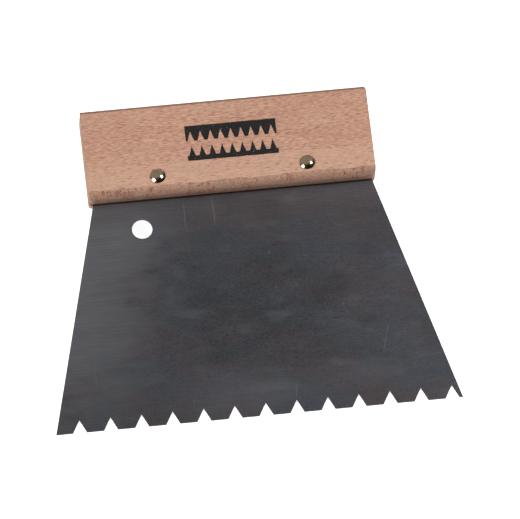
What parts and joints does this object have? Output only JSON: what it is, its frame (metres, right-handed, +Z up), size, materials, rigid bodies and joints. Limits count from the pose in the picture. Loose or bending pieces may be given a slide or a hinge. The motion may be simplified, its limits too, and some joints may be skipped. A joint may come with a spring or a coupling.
{
  "type": "notched trowel",
  "caption": "Flat steel comb trowel, wider at its V-notched edge, with a rounded beech bar handle riveted over its back edge, for spreading adhesive.",
  "frame": {"origin": "on the table, under the middle of the resting tool's box", "axes": "+X along the toothed edge, +Y from the toothed edge towards the handle, +Z up. The tool lies on its back, front face up, on its tooth tips and its two back rivet heads, so it is tipped 4.40 degrees about X."},
  "size_m": [0.1834, 0.1516, 0.0193],
  "materials": {
    "beech": "sanded, unvarnished beech",
    "blade_steel": "dark rolled and ground spring steel",
    "rivet_metal": "polished, warm nickel-plated steel"
  },
  "bodies": {
    "root": {"handle": "beech", "blade": "blade_steel", "rivet_pin_left": "rivet_metal", "rivet_pin_right": "rivet_metal", "rivet_cap_left": "rivet_metal", "rivet_cap_right": "rivet_metal"}
  },
  "joints": []
}
